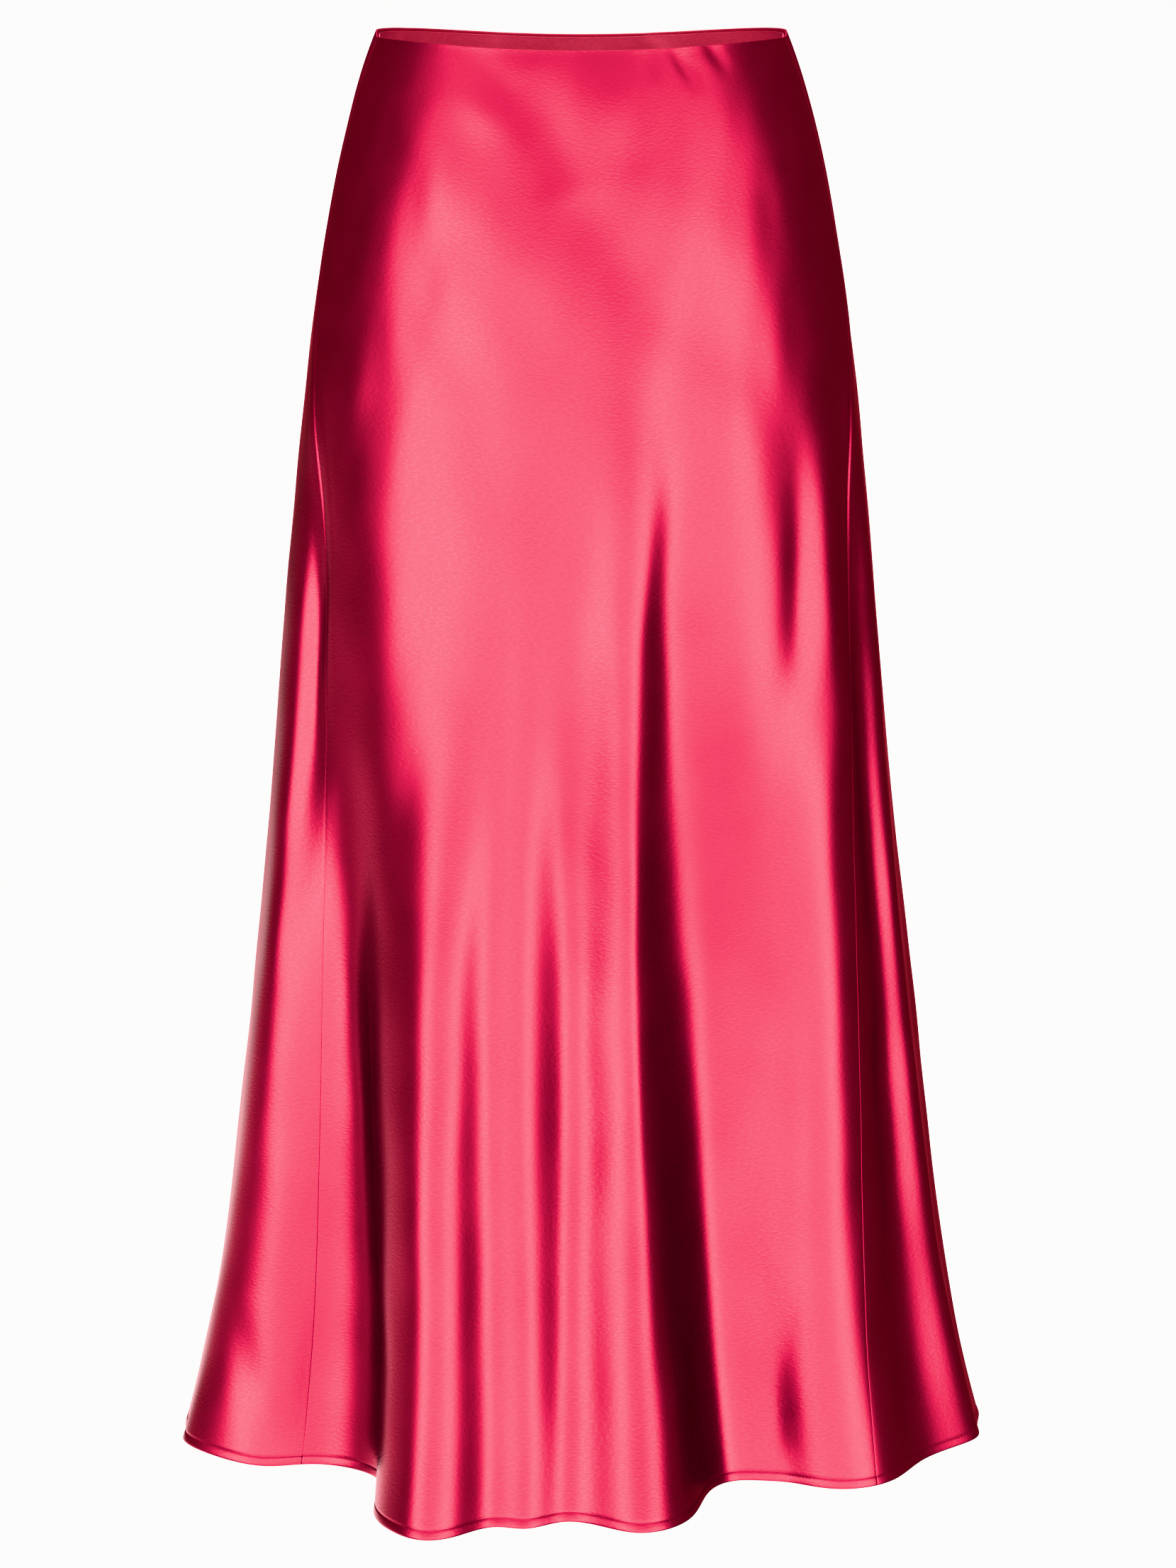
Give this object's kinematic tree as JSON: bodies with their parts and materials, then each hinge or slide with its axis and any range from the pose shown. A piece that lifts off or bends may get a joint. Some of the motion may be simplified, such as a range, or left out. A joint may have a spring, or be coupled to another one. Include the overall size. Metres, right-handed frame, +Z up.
{
  "type": "a-line midi skirt",
  "caption": "Bias-cut satin A-line midi skirt, filled out as worn: smooth over the hips, opening into soft flutes at a narrow stitched hem, faced at the waist.",
  "frame": {"origin": "the middle of the waist opening, at the height of its side seams", "axes": "+Z up, the front faces -Y, +X to the right of someone who looks at the front"},
  "size_m": [0.4841, 0.3923, 0.8405],
  "materials": {
    "satin": "glossy raspberry satin, strong soft highlights that fall off to dark maroon",
    "facing_satin": "the same satin, face side showing inside the waist",
    "thread": "matching polyester thread, slightly darker than the satin"
  },
  "bodies": {
    "root": {"front_panel": "satin", "back_panel": "satin", "waist_facing_front": "facing_satin", "waist_facing_back": "facing_satin"}
  },
  "joints": []
}
